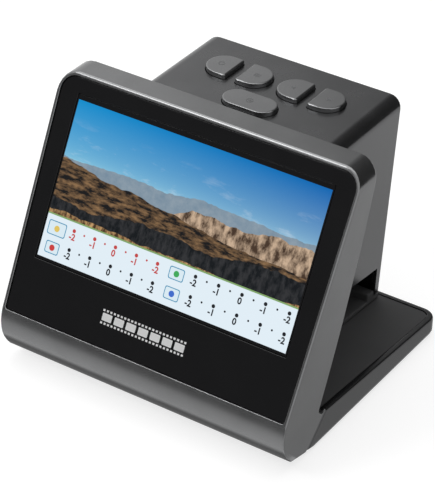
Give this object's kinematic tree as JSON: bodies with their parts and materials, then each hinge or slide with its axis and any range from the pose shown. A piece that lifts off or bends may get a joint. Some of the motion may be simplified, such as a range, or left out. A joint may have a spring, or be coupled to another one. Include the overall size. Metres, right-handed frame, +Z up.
{
  "type": "film negative scanner",
  "caption": "Desktop film negative scanner: leaning colour display in front, low base with a film path, and a camera tower with push keys over the film",
  "frame": {"origin": "at the table, under the middle of the scanner's bounding box", "axes": "+X to the right as the user faces the display, +Y from the display to the rear, +Z up"},
  "size_m": [0.1318, 0.1112, 0.1066],
  "materials": {
    "shell_grey": "fine satin moulded grey",
    "key_grey": "fine satin moulded grey, a little lighter",
    "gloss_black": "polished black",
    "satin_black": "satin black",
    "inner_black": "matte black",
    "display_glass": "lit colour display behind glass",
    "board_green": "green circuit board lacquer",
    "plated_steel": "nickel plated",
    "moulded_white": "white moulding",
    "foot_rubber": "black rubber"
  },
  "bodies": {
    "scanner": {"front_shell": "shell_grey", "back_panel": "shell_grey", "front_panel": "gloss_black", "display_module": "display_glass", "display_frame": "inner_black", "main_board": "board_green", "processor": "inner_black", "memory_chip": "inner_black", "usb_socket": "plated_steel", "card_socket": "plated_steel", "base_shell": "shell_grey", "base_plate": "satin_black", "bottom_cover": "satin_black", "rubber_foot_1": "foot_rubber", "rubber_foot_2": "foot_rubber", "rubber_foot_3": "foot_rubber", "rubber_foot_4": "foot_rubber", "bottom_screw_1": "plated_steel", "bottom_screw_2": "plated_steel", "bottom_screw_3": "plated_steel", "bottom_screw_4": "plated_steel", "tower_shell": "shell_grey", "film_bed": "satin_black", "light_diffuser": "moulded_white", "light_box": "moulded_white", "light_board": "board_green", "film_guide": "inner_black", "camera_hood": "inner_black", "camera_bracket": "plated_steel", "lens_mount": "inner_black", "lens_barrel": "inner_black", "sensor_board": "board_green", "image_sensor": "inner_black", "key_board": "board_green", "power_switch": "inner_black", "menu_switch": "inner_black", "left_switch": "inner_black", "right_switch": "inner_black", "capture_switch": "inner_black"},
    "power_button": {"power_key": "key_grey", "power_plunger": "moulded_white"},
    "menu_button": {"menu_key": "key_grey", "menu_plunger": "moulded_white"},
    "left_button": {"left_key": "key_grey", "left_plunger": "moulded_white"},
    "right_button": {"right_key": "key_grey", "right_plunger": "moulded_white"},
    "capture_button": {"capture_key": "key_grey", "capture_plunger": "moulded_white"}
  },
  "joints": [
    {"name": "power_press", "type": "slide", "parent": "scanner", "child": "power_button", "axis": [0, 0, -1], "range_m": [0, 0.0006], "stiffness_N_per_m": 500, "springref_m": -0.001},
    {"name": "menu_press", "type": "slide", "parent": "scanner", "child": "menu_button", "axis": [0, 0, -1], "range_m": [0, 0.0006], "stiffness_N_per_m": 500, "springref_m": -0.001},
    {"name": "left_press", "type": "slide", "parent": "scanner", "child": "left_button", "axis": [0, 0, -1], "range_m": [0, 0.0006], "stiffness_N_per_m": 500, "springref_m": -0.001},
    {"name": "right_press", "type": "slide", "parent": "scanner", "child": "right_button", "axis": [0, 0, -1], "range_m": [0, 0.0006], "stiffness_N_per_m": 500, "springref_m": -0.001},
    {"name": "capture_press", "type": "slide", "parent": "scanner", "child": "capture_button", "axis": [0, 0, -1], "range_m": [0, 0.0006], "stiffness_N_per_m": 500, "springref_m": -0.001}
  ]
}
